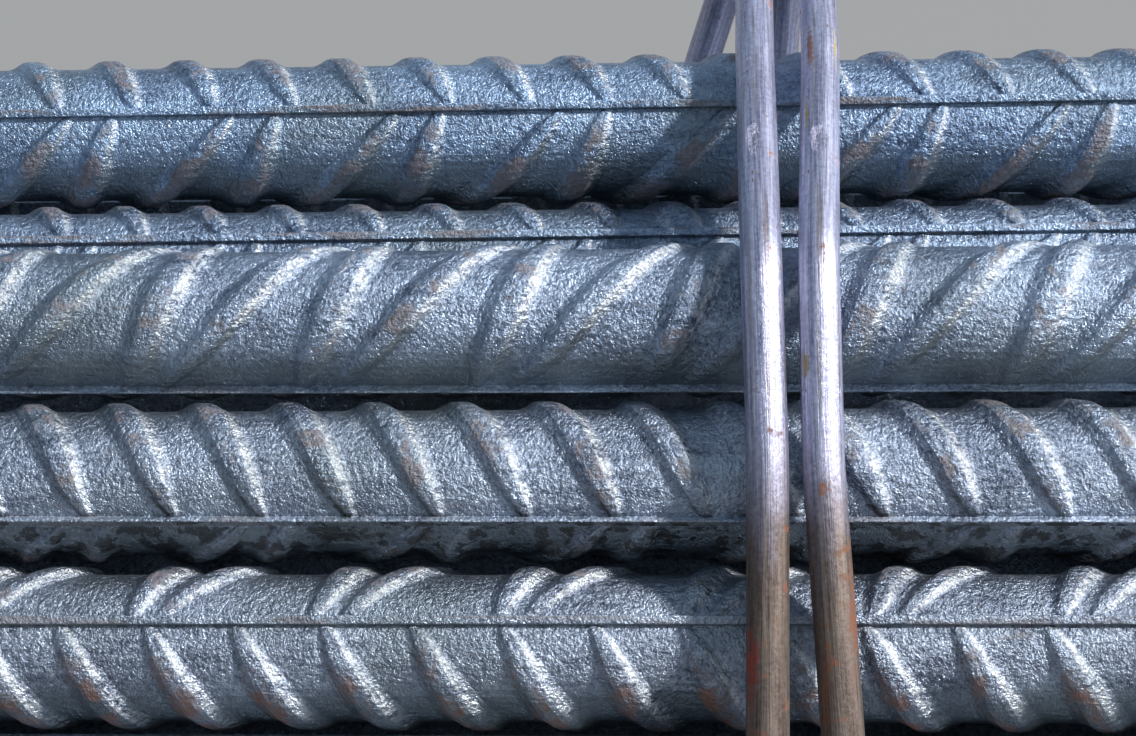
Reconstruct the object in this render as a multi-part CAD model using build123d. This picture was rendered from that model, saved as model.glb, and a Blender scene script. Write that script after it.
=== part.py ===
from build123d import *
import math
import os

# A bundle of ribbed reinforcing bars, held by doubled wire ties.
# The bars lie along X. Their ends are at +X and -X, and Z is up.
# The origin is on the floor, under the middle of the bundle.

# The bar: nominal size 20 mm, a stock length of 3 m
BAR_LENGTH = 3000.0
CORE_DIAMETER = 19.5
CROSS_RIB_HEIGHT = 1.25
LONG_RIB_WIDTH = 1.4
LONG_RIB_FOOT_WIDTH = 2.4
LONG_RIB_HEIGHT = 0.6

# How the bars lie together: a six-sided stack, widest in the middle row
ROWS_EACH_SIDE = 3
BARS_IN_MIDDLE_ROW = 7
BAR_CLEARANCE = 0.2
END_STAGGER = 6.0
STAGGER_STEPS = 11
STAGGER_STRIDE = 7

# How far each bar is turned about its own axis. The bars at the front keep the turn
# at which they lie, and each other bar is turned a little further than the one before.
TURN_PER_BAR = 67.5
FRONT_BAR_TURNS = {
    "bar_row_3_a": -49.0,
    "bar_row_3_b": 53.0,
    "bar_row_2_a": -10.0,
    "bar_row_1_a": 45.0,
    "bar_top": 33.0,
}

# The ties: round wire rod, laid double round the bundle, with the four ends twisted
# together. One is at the middle and one is near each end. The rod is drawn with flat
# sides that touch its true round.
WIRE_DIAMETER = 5.5
WIRE_SIDES = 8
TIE_CLEARANCE = 0.3
TIE_FROM_END = 450.0
WIRES_IN_KNOT = 4
KNOT_BEHIND_TOP_BAR = 30.0
KNOT_ABOVE_TOP_BAR = 28.0
KNOT_SHIFT = -1.0
KNOT_LEAN = 25.0
TWIST_PITCH = 50.0
TWIST_STEPS = 4
TWIST_STEPS_PER_TURN = 6
TWIST_GAP = 0.7
TWIST_ROOT_BEND = 6.0
TAIL_LENGTH = 8.0
TAIL_SPLAY = 1.5
BEND_SHARE = 0.4

# Where the doubled wire crosses each bar that it touches, in wire diameters: how far the
# pair's middle is shifted along the bundle, and how far apart its two strands are
PAIR_MIDDLE = {
    "front_top": 0.06,
    "front_shoulder": -0.09,
    "front_middle": -0.02,
    "front": 0.19,
    "front_foot": 0.27,
    "back_foot": 0.0,
    "back": -0.55,
    "back_shoulder": -1.5,
}
PAIR_SPREAD = {
    "front_top": 1.69,
    "front_shoulder": 1.35,
    "front_middle": 1.29,
    "front": 1.91,
    "front_foot": 1.75,
    "back_foot": 1.5,
    "back": 1.75,
    "back_shoulder": 3.0,
}

CORE_RADIUS = CORE_DIAMETER / 2
OVER_RIBS_RADIUS = CORE_RADIUS + CROSS_RIB_HEIGHT
BAR_PITCH = 2 * OVER_RIBS_RADIUS + BAR_CLEARANCE
ROW_RISE = BAR_PITCH * math.sin(math.radians(60))
WIRE_RADIUS = WIRE_DIAMETER / 2
WRAP_RADIUS = OVER_RIBS_RADIUS + TIE_CLEARANCE + WIRE_RADIUS
MIDDLE_ROW_HEIGHT = ROWS_EACH_SIDE * ROW_RISE + WRAP_RADIUS + WIRE_RADIUS
OUTER_TIE_PLACE = BAR_LENGTH / 2 - TIE_FROM_END
TIE_STATIONS = (-OUTER_TIE_PLACE, 0.0, OUTER_TIE_PLACE)


def bar_section():
    """One bar's section, drawn over the crests of its cross ribs.

    Two rows of crescent ribs leave a two-arc outline, which is highest midway
    between the two long ribs, and those stand on the core.
    """
    left = (-CORE_RADIUS, 0)
    right = (CORE_RADIUS, 0)
    upper = ThreePointArc(left, (0, OVER_RIBS_RADIUS), right)
    lower = ThreePointArc(right, (0, -OVER_RIBS_RADIUS), left)
    outline = make_face([upper, lower])
    tip = CORE_RADIUS + LONG_RIB_HEIGHT
    foot = CORE_RADIUS - LONG_RIB_HEIGHT
    long_rib = Polyline(
        (foot, -LONG_RIB_FOOT_WIDTH / 2),
        (tip, -LONG_RIB_WIDTH / 2),
        (tip, LONG_RIB_WIDTH / 2),
        (foot, LONG_RIB_FOOT_WIDTH / 2),
        close=True,
    )
    rib_face = make_face(long_rib)
    return outline + rib_face + rib_face.rotate(Axis.Z, 180)


def bar(section, turn, shift, y, z):
    """One bar along X. Turned by 0, its long ribs face the front and the back.

    A turn raises the front rib by that many degrees.
    """
    solid = extrude(section, amount=BAR_LENGTH)
    solid = solid.rotate(Axis.Z, 90 - turn)
    solid = solid.rotate(Axis.Y, 90)
    return solid.moved(Location((shift - BAR_LENGTH / 2, y, z)))


def end_shift(index):
    """How far a bar sticks out towards +X, the same pattern over and over."""
    step = index * STAGGER_STRIDE % STAGGER_STEPS
    return END_STAGGER * (2 * step / (STAGGER_STEPS - 1) - 1)


def row_place(row, place):
    """A bar's Y and Z in the stack. Row 0 is the widest, and place 0 is at the front."""
    count = BARS_IN_MIDDLE_ROW - abs(row)
    y = (place - (count - 1) / 2) * BAR_PITCH
    return y, MIDDLE_ROW_HEIGHT + row * ROW_RISE


def top_bar_place():
    """The single bar that lies in the middle groove of the top row."""
    return 0.0, MIDDLE_ROW_HEIGHT + (ROWS_EACH_SIDE + 1) * ROW_RISE


def bar_places():
    """Each bar's name with its Y and Z, from the bottom row to the top one."""
    places = {}
    for row in range(-ROWS_EACH_SIDE, ROWS_EACH_SIDE + 1):
        side = "row" if row >= 0 else "low_row"
        for place in range(BARS_IN_MIDDLE_ROW - abs(row)):
            letter = "abcdefghijklm"[place]
            places[f"bar_{side}_{abs(row)}_{letter}"] = row_place(row, place)
    places["bar_top"] = top_bar_place()
    return places


def make_bars():
    section = bar_section()
    bars = {}
    for index, (name, (y, z)) in enumerate(bar_places().items()):
        turn = FRONT_BAR_TURNS.get(name, index * TURN_PER_BAR % 180)
        bars[name] = bar(section, turn, end_shift(index), y, z)
    return bars


def outer_line(start, start_radius, end, end_radius):
    """The straight line that touches two circles on the side away from the stack's middle.

    It comes back as its outward normal and its distance from the origin along it.
    """
    dy, dz = end[0] - start[0], end[1] - start[1]
    length = math.hypot(dy, dz)
    lean = (start_radius - end_radius) / length
    across = math.sqrt(1 - lean * lean)
    ny = (dy * lean - dz * across) / length
    nz = (dz * lean + dy * across) / length
    return ny, nz, ny * start[0] + nz * start[1] + start_radius


def meeting_point(first, second):
    """Where two such lines cross."""
    det = first[0] * second[1] - first[1] * second[0]
    y = (first[2] * second[1] - second[2] * first[1]) / det
    z = (first[0] * second[2] - second[0] * first[2]) / det
    return y, z


def touching_point(line, place):
    """Where such a line touches the wire's way over a bar."""
    return place[0] + WRAP_RADIUS * line[0], place[1] + WRAP_RADIUS * line[1]


def wrap_corners():
    """The corners of the wire's path in the YZ plane, from the front top to the back shoulder.

    The wire runs from bar to bar in straight lines and bends round the corner bars,
    so each corner lies where two straight runs would meet. Between the front shoulder and
    the front it also touches the bar below the shoulder, and shifts a little there.
    """
    bottom, top = -ROWS_EACH_SIDE, ROWS_EACH_SIDE
    last_middle = BARS_IN_MIDDLE_ROW - 1
    last_short = BARS_IN_MIDDLE_ROW - ROWS_EACH_SIDE - 1
    knot = knot_place()
    stops = [
        ("knot", knot, 0.0),
        ("front_top", top_bar_place(), WRAP_RADIUS),
        ("front_shoulder", row_place(top, 0), WRAP_RADIUS),
        ("front", row_place(0, 0), WRAP_RADIUS),
        ("front_foot", row_place(bottom, 0), WRAP_RADIUS),
        ("back_foot", row_place(bottom, last_short), WRAP_RADIUS),
        ("back", row_place(0, last_middle), WRAP_RADIUS),
        ("back_shoulder", row_place(top, last_short), WRAP_RADIUS),
        ("knot", knot, 0.0),
    ]
    lines = []
    for here, there in zip(stops[1:], stops[:-1]):
        lines.append(outer_line(here[1], here[2], there[1], there[2]))
    corners = []
    for stop, before, after in zip(stops[1:-1], lines[:-1], lines[1:]):
        corners.append((stop[0], meeting_point(before, after)))
    names = [name for name, _ in corners]
    front_run = lines[names.index("front")]
    touch = touching_point(front_run, row_place(top - 1, 0))
    corners.insert(names.index("front"), ("front_middle", touch))
    return corners


def knot_place():
    """The Y and Z at which the four wires come together, above and behind the top bar."""
    y, z = top_bar_place()
    return y + KNOT_BEHIND_TOP_BAR, z + KNOT_ABOVE_TOP_BAR


def twist_radius():
    """How far the four wires' centres lie from the twist's axis, so that they just clear.

    The wires slope round the axis, and a slope brings neighbours closer together.
    """
    radius = WIRE_DIAMETER
    for _ in range(20):
        slope = math.cos(math.atan(2 * math.pi * radius / TWIST_PITCH))
        chord_share = 2 * math.sin(math.pi / WIRES_IN_KNOT)
        radius = (WIRE_DIAMETER + TWIST_GAP) / (chord_share * slope)
    return radius


def twist_points(first_angle):
    """One wire's points up the twist, from its root to its cut end, in X, Y and Z."""
    lean = math.radians(KNOT_LEAN)
    knot_y, knot_z = knot_place()
    corner_radius = twist_radius() / math.cos(math.pi / TWIST_STEPS_PER_TURN / 2)
    rise = TWIST_PITCH / TWIST_STEPS_PER_TURN
    points = []
    for step in range(TWIST_STEPS + 2):
        is_tail = step > TWIST_STEPS
        angle = math.radians(first_angle + 360 * step / TWIST_STEPS_PER_TURN)
        height = TWIST_STEPS * rise + TAIL_LENGTH if is_tail else step * rise
        reach = corner_radius + TAIL_SPLAY if is_tail else corner_radius
        side = reach * math.cos(angle)
        back = reach * math.sin(angle)
        y = knot_y + back * math.cos(lean) + height * math.sin(lean)
        z = knot_z - back * math.sin(lean) + height * math.cos(lean)
        points.append((KNOT_SHIFT + side, y, z))
    return points


def bend_radii(route):
    """The bend at each inner point of a twist: as large as its two runs allow."""
    radii = []
    for before, here, after in zip(route[:-2], route[1:-1], route[2:]):
        incoming = Vector(*here) - Vector(*before)
        outgoing = Vector(*after) - Vector(*here)
        run = min(incoming.length, outgoing.length)
        half_turn = math.radians(incoming.get_angle(outgoing)) / 2
        radii.append(BEND_SHARE * run / math.tan(half_turn))
    return radii


def tie_wire(station, side):
    """One strand of a tie: down out of the twist, round the bundle and up into the twist.

    side is -1 for the strand nearer to -X and 1 for the other.
    """
    root_angle = 180 / WIRES_IN_KNOT * side
    front_twist = list(reversed(twist_points(-90 + root_angle)))
    back_twist = twist_points(90 - root_angle)
    wrap = []
    for name, (y, z) in wrap_corners():
        x = WIRE_DIAMETER * (PAIR_MIDDLE[name] + side * PAIR_SPREAD[name] / 2)
        wrap.append((x, y, z))
    radii = bend_radii(front_twist) + [TWIST_ROOT_BEND]
    radii += [WRAP_RADIUS] * len(wrap)
    radii += [TWIST_ROOT_BEND] + bend_radii(back_twist)
    centreline = FilletPolyline(*front_twist, *wrap, *back_twist, radius=radii)
    outline = RegularPolygon(WIRE_RADIUS, WIRE_SIDES, major_radius=False)
    profile = Plane(centreline @ 0, z_dir=centreline % 0) * outline
    return sweep(profile, path=centreline).moved(Location((station, 0, 0)))


def make_ties():
    ties = {}
    for number, station in enumerate(TIE_STATIONS, start=1):
        ties[f"tie_{number}_left_wire"] = tie_wire(station, -1)
        ties[f"tie_{number}_right_wire"] = tie_wire(station, 1)
    return ties


def main():
    os.makedirs("parts", exist_ok=True)
    pieces = {**make_bars(), **make_ties()}
    for name, solid in pieces.items():
        export_step(solid, f"parts/{name}.step")
    print(len(pieces), "pieces")


main()
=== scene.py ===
# %% [markdown]
# # A bundle of ribbed reinforcing bars
#
# A reinforcing bar is hot rolled. The rolls press two rows of slanting ribs into it, one
# row on each half, and where the two rolls meet they leave a long rib on either side.
# Thirty-eight such bars lie in a six-sided stack here, and three doubled ties of wire rod
# hold them. The CAD frame has the bars and the ties as plain solids. This script gives
# them their ribs, their round wire and their finishes.

import math
from functools import partialmethod

import bmesh
import bpy
from mathutils import Matrix, Vector


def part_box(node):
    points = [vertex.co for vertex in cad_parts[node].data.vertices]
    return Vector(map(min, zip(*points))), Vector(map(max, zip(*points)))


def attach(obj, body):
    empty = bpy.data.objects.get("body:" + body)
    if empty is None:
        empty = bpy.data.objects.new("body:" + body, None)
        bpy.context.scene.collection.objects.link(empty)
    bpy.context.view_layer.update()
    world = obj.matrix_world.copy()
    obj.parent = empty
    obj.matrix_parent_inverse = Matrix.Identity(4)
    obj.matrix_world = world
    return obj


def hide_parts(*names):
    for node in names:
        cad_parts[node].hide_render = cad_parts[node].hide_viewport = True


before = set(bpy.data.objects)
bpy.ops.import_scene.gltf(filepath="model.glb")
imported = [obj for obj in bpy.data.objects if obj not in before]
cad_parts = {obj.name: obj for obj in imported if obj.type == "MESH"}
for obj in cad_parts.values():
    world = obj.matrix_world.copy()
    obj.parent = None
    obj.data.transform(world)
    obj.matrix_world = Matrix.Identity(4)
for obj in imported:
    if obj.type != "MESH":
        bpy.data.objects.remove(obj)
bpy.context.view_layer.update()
BARS = sorted(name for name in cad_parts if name.startswith("bar_"))
WIRES = sorted(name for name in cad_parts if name.startswith("tie_"))
print(len(BARS), "bars,", len(WIRES), "wires")

# %% [markdown]
# ## Fields that read like sums
#
# Geometry Nodes and materials both work out their values with Math nodes. A long formula
# drawn as nodes is hard to read in a script, so a small class stands for a socket and
# turns each + or * into a node. The formulas below can then be written as sums.

# %% Sums made of nodes
MM = 0.001


def plug(tree, value, socket):
    """Links a field to a socket, or sets the socket to a plain number."""
    if isinstance(value, Field):
        tree.links.new(value.socket, socket)
    elif value is not None:
        socket.default_value = value


class Field:
    """A value in a node tree. Sums can be written with it."""

    def __init__(self, tree, socket):
        self.tree = tree
        self.socket = socket
        self.node = socket.node

    def use(self, operation, *others):
        return calculate(self.tree, operation, self, *others)

    def __rsub__(self, other):
        return calculate(self.tree, "SUBTRACT", other, self)

    def clamp(self):
        return self.use("MINIMUM", 1.0).use("MAXIMUM", 0.0)

    def smooth(self):
        """Eases a value between 0 and 1, so that its slope is level at both."""
        share = self.clamp()
        return share * share * (3.0 - 2.0 * share)


# Python calls __add__ for a + b, and __radd__ where only b is a field
SIGNS = {
    "__add__": "ADD",
    "__radd__": "ADD",
    "__sub__": "SUBTRACT",
    "__mul__": "MULTIPLY",
    "__rmul__": "MULTIPLY",
    "__truediv__": "DIVIDE",
    "__gt__": "GREATER_THAN",
    "__lt__": "LESS_THAN",
}
for sign, operation in SIGNS.items():
    setattr(Field, sign, partialmethod(Field.use, operation))
print(len(SIGNS), "signs work on fields")

# %% Nodes made by functions
def calculate(tree, operation, *values):
    node = tree.nodes.new("ShaderNodeMath")
    node.operation = operation
    for value, socket in zip(values, node.inputs):
        plug(tree, value, socket)
    return Field(tree, node.outputs[0])


def step(tree, kind, output=0, settings=None, **inputs):
    """Adds a node, sets its options and inputs, and gives back one of its outputs."""
    node = tree.nodes.new(kind)
    for key, value in (settings or {}).items():
        setattr(node, key, value)
    for key, value in inputs.items():
        plug(tree, value, node.inputs[key.replace("_", " ")])
    return Field(tree, node.outputs[output])


def xyz(tree, **parts):
    """A vector from its X, Y and Z."""
    return step(tree, "ShaderNodeCombineXYZ", **parts)


def part(tree, axis, vector):
    """The X, Y or Z of a vector."""
    return step(tree, "ShaderNodeSeparateXYZ", output=axis, Vector=vector)


def choose(test, yes, no):
    """yes where the test is 1, and no where it is 0."""
    return test * yes + (1.0 - test) * no


print("node helpers ready")

# %% [markdown]
# ## The trees' inputs
#
# Each tree has named inputs for its sizes. A group inside another tree gets them from
# that tree, and a modifier gets them by the socket's identifier.

# %% Trees with named sizes
SOCKETS = {float: "NodeSocketFloat", int: "NodeSocketInt"}
SHAPE_SOCKET = "NodeSocketGeometry"


def new_tree(name, sizes):
    """A geometry tree with a named input for each size."""
    tree = bpy.data.node_groups.new(name, "GeometryNodeTree")
    for way in ("INPUT", "OUTPUT"):
        tree.interface.new_socket("Geometry", in_out=way, socket_type=SHAPE_SOCKET)
    for label, value in sizes.items():
        kind = SOCKETS[type(value)]
        socket = tree.interface.new_socket(label, in_out="INPUT", socket_type=kind)
        socket.default_value = value
    source = tree.nodes.new("NodeGroupInput")
    target = tree.nodes.new("NodeGroupOutput")
    fields = {socket.name: Field(tree, socket) for socket in source.outputs if socket.name}
    return tree, fields, target


def make_mesh(name, tree, sizes, data):
    """Runs a tree on a piece and keeps the result as a plain mesh, faces outwards."""
    source = bpy.data.objects.new(name + "_source", data)
    bpy.context.scene.collection.objects.link(source)
    modifier = source.modifiers.new("shape", "NODES")
    modifier.node_group = tree
    for item in tree.interface.items_tree:
        if item.in_out == "INPUT" and item.name in sizes:
            modifier[item.identifier] = sizes[item.name]
    depsgraph = bpy.context.evaluated_depsgraph_get()
    mesh = bpy.data.meshes.new_from_object(source.evaluated_get(depsgraph))
    bpy.data.objects.remove(source)
    shell = bmesh.new()
    shell.from_mesh(mesh)
    bmesh.ops.recalc_face_normals(shell, faces=shell.faces)
    shell.to_mesh(mesh)
    shell.free()
    mesh.name = name
    piece = bpy.data.objects.new(name, mesh)
    bpy.context.scene.collection.objects.link(piece)
    return piece


print("tree helpers ready")

# %% [markdown]
# ## One row of ribs
#
# A slanting rib is only 7.6 mm wide at its foot, and a plain grid would cut it into
# steps. It could be pressed into the bar by displacement, with very fine faces. Here the
# grid follows the ribs instead: each of its lines runs along a foot, flank or crest, or
# along the valley between two ribs, and leans as they do. One row covers half of the bar,
# and is closed behind by a flat through the bar's middle, so it is a solid of its own.
# Every second rib can have its own lean, as on one side of these bars.

# %% Sizes of the ribs
CORE_RADIUS = 9.75 * MM
RIB_HEIGHT = 1.25 * MM
RIB_CREST_HALF = 1.7 * MM
RIB_FLANK = 2.1 * MM
CREST_SHARE = 0.34
FLANK_CURVE = 1.6
CRESCENT_FULLNESS = 0.62
NARROWEST_CREST = 0.3
BESIDE_IN_VALLEY = 1.5
SAME_POINT = 0.01 * MM
END_FADE = 0.5 * MM
CAP_POINT_RADIUS = 4.0 * MM
EDGE_WOBBLE = 0.22 * MM
EDGE_WOBBLE_SCALE = 170.0
SKIN_WOBBLE = 0.05 * MM
SKIN_WOBBLE_SCALE = 330.0
TO_PLUS_OR_MINUS_1 = 3.0

ROW_SIZES = {
    **dict.fromkeys(("Start", "Y", "Z", "Middle", "Phase"), 0.0),
    "End": 1.0,
    "Pitch": 0.0115,
    "Steep": 0.5,
    "Shallow": 0.5,
    "Shallow shift": 0.0,
    "Rib lines": 4,
    "Valley lines": 0,
    "Columns": 7,
    "Relief": 1.0,
}
print("a rib's foot is", round(2 * (RIB_CREST_HALF + RIB_FLANK) / MM, 1), "mm wide")

# %% Helpers for the shapes
def wobble(tree, x, y, z, per_metre):
    """A smooth random value between about -1 and 1 that changes with the place."""
    place = xyz(tree, X=x, Y=y, Z=z)
    value = step(tree, "ShaderNodeTexNoise", Vector=place, Scale=per_metre, Detail=2.0)
    return (value - 0.5) * TO_PLUS_OR_MINUS_1


def keep_value(tree, geometry, name, value, kind="FLOAT"):
    """Stores a value on every point, for a material to read."""
    return step(
        tree,
        "GeometryNodeStoreNamedAttribute",
        settings={"data_type": kind, "domain": "POINT"},
        Geometry=geometry,
        Name=name,
        Value=value,
    )


print("shape helpers ready")

# %% [markdown]
# The row starts as a flat grid of the right number of points. Each point works out from
# its number alone which line it is on, to which rib that line belongs and where it is
# across that rib or in the valley after it. From that come its place along the bar and
# its height, so the row can be any length and any fineness without a loop.

# %% Which rib a point belongs to
# Added before a whole number is rounded down, so that it stays what it is
ROUNDING_GUARD = 0.0001


def count_points(tree, size):
    """The grid's lines, and what each point works out from its number."""
    reach = math.pi / 2 * CORE_RADIUS
    lines_each = size["Rib lines"] + size["Valley lines"]
    first = ((size["Start"] - reach - size["Phase"]) / size["Pitch"]).use("FLOOR") - 1.0
    last = ((size["End"] + reach - size["Phase"]) / size["Pitch"]).use("CEIL") + 1.0
    lines = (last - first) * lines_each + 2.0
    columns = size["Columns"]
    index = step(tree, "GeometryNodeInputIndex")
    line = (index / (columns + 1.0) + ROUNDING_GUARD).use("FLOOR")
    column = (index - line * (columns + 1.0)).use("FLOORED_MODULO", columns)
    inner = line - 1.0
    order = ((inner + 0.5) / lines_each).use("FLOOR")
    place = inner - order * lines_each
    rib = order + first
    return {
        "lines": lines,
        "is_cap": (line < 0.5).use("MAXIMUM", line > (lines - 1.5)),
        "rib": rib,
        "odd": rib.use("FLOORED_MODULO", 2.0) > 0.5,
        "on_rib": place < (size["Rib lines"] - 0.5),
        "across": 2.0 * place / (size["Rib lines"] - 1.0) - 1.0,
        "along_valley": (place - size["Rib lines"] + 1.0) / (size["Valley lines"] + 1.0),
        "share": column / (columns - 1.0),
    }


print("a plain rib has", ROW_SIZES["Rib lines"], "lines")

# %% Where a point lies along the bar and how high
def place_along(tree, size, point, crescent, swing):
    """How far along the bar a point is, before the bar's ends cut it off."""
    crest_half = (NARROWEST_CREST + (1.0 - NARROWEST_CREST) * crescent) * RIB_CREST_HALF
    half_width = crest_half + crescent * RIB_FLANK
    rib, odd = point["rib"], point["odd"]
    even_crest = size["Steep"] * swing
    odd_crest = size["Shallow"] * swing + size["Shallow shift"]
    crest = size["Phase"] + rib * size["Pitch"] + choose(odd, odd_crest, even_crest)
    following = size["Phase"] + (rib + 1.0) * size["Pitch"]
    following = following + choose(odd, even_crest, odd_crest)
    edge = wobble(tree, crest, size["Y"] + swing, size["Z"], EDGE_WOBBLE_SCALE)
    x_on_rib = crest + point["across"] * half_width + edge * EDGE_WOBBLE
    x_in_valley = choose(point["along_valley"], following - half_width, crest + half_width)
    return choose(point["on_rib"], x_on_rib, x_in_valley)


def relief_at(size, point, crescent, x):
    """The rib's section: a crest, two eased flanks, and nothing past the bar's end."""
    flank = (1.0 - point["across"].use("ABSOLUTE")) / (1.0 - CREST_SHARE)
    flank = flank.clamp().use("POWER", FLANK_CURVE)
    near_end = (x - size["Start"]).use("MINIMUM", size["End"] - x) / END_FADE
    return point["on_rib"] * flank * crescent * near_end.clamp() * size["Relief"]


print("ribs are", RIB_HEIGHT / MM, "mm high")

# %% The rib row
def rib_row_tree():
    tree, size, target = new_tree("rib_row", ROW_SIZES)
    point = count_points(tree, size)
    share, is_cap = point["share"], point["is_cap"]
    # The crescent: highest midway between the long ribs, and gone where it meets them
    crescent = (share * math.pi).use("SINE").use("MAXIMUM", 0.0)
    crescent = crescent.use("POWER", CRESCENT_FULLNESS)
    swing = (share - 0.5) * math.pi * CORE_RADIUS
    x = place_along(tree, size, point, crescent, swing)
    relief = relief_at(size, point, crescent, x)
    x = x.use("MAXIMUM", size["Start"]).use("MINIMUM", size["End"])

    angle = size["Middle"] + (share - 0.5) * math.pi * (1.0 - is_cap)
    rough = wobble(tree, x, size["Y"] + swing, size["Z"], SKIN_WOBBLE_SCALE) * SKIN_WOBBLE
    skin = CORE_RADIUS + relief * RIB_HEIGHT + (rough - SKIN_WOBBLE) * crescent
    radius = choose(is_cap, CAP_POINT_RADIUS, skin)
    y = size["Y"] - radius * angle.use("COSINE")
    z = size["Z"] + radius * angle.use("SINE")
    grid = step(
        tree,
        "GeometryNodeMeshGrid",
        Vertices_X=point["lines"],
        Vertices_Y=size["Columns"] + 1.0,
    )
    spot = xyz(tree, X=x, Y=y, Z=z)
    placed = step(tree, "GeometryNodeSetPosition", Geometry=grid, Position=spot)
    kept = keep_value(tree, placed, "rib", relief)
    beside = choose(point["on_rib"], point["across"].use("ABSOLUTE"), BESIDE_IN_VALLEY)
    kept = keep_value(tree, kept, "beside_crest", beside)
    merged = step(tree, "GeometryNodeMergeByDistance", Geometry=kept, Distance=SAME_POINT)
    plug(tree, merged, target.inputs["Geometry"])
    return tree


RIB_ROW = rib_row_tree()
print("rib row tree:", len(RIB_ROW.nodes), "nodes")

# %% [markdown]
# ## The finishes
#
# Hot-rolled bar is covered in mill scale: a thin blue-grey skin of oxide, half metallic,
# streaked along the bar by the rolls and finely pitted. An image of it could be wrapped
# on, but noise needs no image and has no seams. So each finish is made of noise at the
# real sizes, in waves a metre, and ramps cut patches out of it.

# %% Helpers for materials
def new_material(name):
    material = bpy.data.materials.new(name)
    material.use_nodes = True
    tree = material.node_tree
    shader = tree.nodes["Principled BSDF"]
    return material, tree, shader


def object_place(tree, stretch=(1.0, 1.0, 1.0)):
    """The place on the object in metres, each axis multiplied by its stretch."""
    place = step(tree, "ShaderNodeTexCoord", output="Object")
    return step(
        tree,
        "ShaderNodeMapping",
        settings={"vector_type": "POINT"},
        Vector=place,
        Scale=stretch,
    )


def noise(tree, place, per_metre, detail, roughness):
    return step(
        tree,
        "ShaderNodeTexNoise",
        Vector=place,
        Scale=per_metre,
        Detail=detail,
        Roughness=roughness,
    )


def noises(tree, places, table):
    """Every noise of a table: its place, its waves a metre, its detail and roughness."""
    fields = {}
    for name, (place, *numbers) in table.items():
        fields[name] = noise(tree, places[place], *numbers)
    return fields


def attribute(tree, name, output="Fac"):
    settings = {"attribute_name": name}
    return step(tree, "ShaderNodeAttribute", output=output, settings=settings)


def ramp(value, low_and_high):
    """0 below the low value, 1 above the high one, and an even slope between."""
    low, high = low_and_high
    return ((value - low) / (high - low)).clamp()


def mix(fields, shares):
    """A sum of fields, each times its share."""
    first, *others = [fields[name] * share for name, share in shares.items()]
    total = first
    for other in others:
        total = total + other
    return total


# The Mix node has an A, a B and a Result for each kind of value. These are the colours
MIX_A, MIX_B, MIX_RESULT = 6, 7, 2


def blend(tree, share, first, second):
    """A colour between two others. A colour is a field or three numbers."""
    node = tree.nodes.new("ShaderNodeMix")
    node.data_type = "RGBA"
    plug(tree, share, node.inputs["Factor"])
    for value, number in ((first, MIX_A), (second, MIX_B)):
        colour = value if isinstance(value, Field) else (*value, 1.0)
        plug(tree, colour, node.inputs[number])
    return Field(tree, node.outputs[MIX_RESULT])


def bump(tree, height, depth, under=None):
    return step(
        tree, "ShaderNodeBump", Height=height, Distance=depth, Strength=1.0, Normal=under
    )


def finish(tree, shader, **looks):
    """Sets inputs of the shader, each named with _ where its own name has a blank."""
    for name, value in looks.items():
        plug(tree, value, shader.inputs[name.replace("_", " ")])


print("material helpers ready")

# %% [markdown]
# ### Mill scale
#
# The scale is a blue-grey oxide. The bars higher in the stack are painted bluer, a painted
# reflection of the sky. Faces that look down are painted darker and greener as painted
# shade, and the flanks that face the sun carry a painted highlight. Rust starts where the
# scale is scraped: on the crests of the ribs, along the long ribs, and in stains and specks
# between. The rib tree stores how high each point is on a rib and how far beside its crest.
# Reading those keeps the rust and the painted highlight on the ribs, wherever they are.

# %% Colours and noises of the mill scale
SCALE_DARK = (0.07, 0.09, 0.135)
SCALE_LIGHT = (0.52, 0.58, 0.70)
# The scale under a painted reflection of the sky
SKY_REFLECTED_DARK = (0.05, 0.095, 0.19)
SKY_REFLECTED_LIGHT = (0.40, 0.58, 0.84)
# A painted highlight: nearly white, for the flanks that face the sun and for the glints
PAINTED_HIGHLIGHT_COLOUR = (0.80, 0.83, 0.86)
# Greenish clouds of the scale, and the painted shade on faces that look down
SCALE_GREEN_AND_SHADE = (0.16, 0.20, 0.215)
# Near black: blotches of lost scale, darkened as painted shade
BLOTCH_AND_SHADE_COLOUR = (0.035, 0.038, 0.038)
RUST_BROWN = (0.06, 0.042, 0.042)
RUST_PINK = (0.17, 0.125, 0.135)
RUST_ORANGE = (0.22, 0.075, 0.035)
SCALE_NOISES = {
    "clouds": ("plain", 60.0, 3.0, 0.6),
    "streaks": ("streaky", 520.0, 3.0, 0.6),
    "grains": ("plain", 1300.0, 3.0, 0.7),
    "pits": ("plain", 3200.0, 2.0, 0.75),
    "green": ("plain", 31.0, 2.0, 0.6),
    "blotches": ("plain", 380.0, 4.0, 0.6),
    "patches": ("plain", 210.0, 4.0, 0.7),
    "bead_rust": ("smeared", 420.0, 3.0, 0.7),
    "stains": ("streaky", 170.0, 4.0, 0.7),
    "specks": ("plain", 800.0, 2.0, 0.6),
    "wrinkles": ("streaky", 1500.0, 2.0, 0.6),
}
STREAKY = (0.25, 1.0, 1.0)
SMEARED = (0.12, 1.0, 1.0)
print(len(SCALE_NOISES), "noises in the mill scale")

# %% [markdown]
# The colour comes first. Light and dark tones are mixed by the noise. Then go on the
# painted highlight on the sunward flanks, painted glints on the finest grains, painted
# shade in the pits and the greenish clouds. Faces that look down get painted shade, and
# there some bars have dark blotches where the scale has come off, darkened as painted
# shade.

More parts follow.
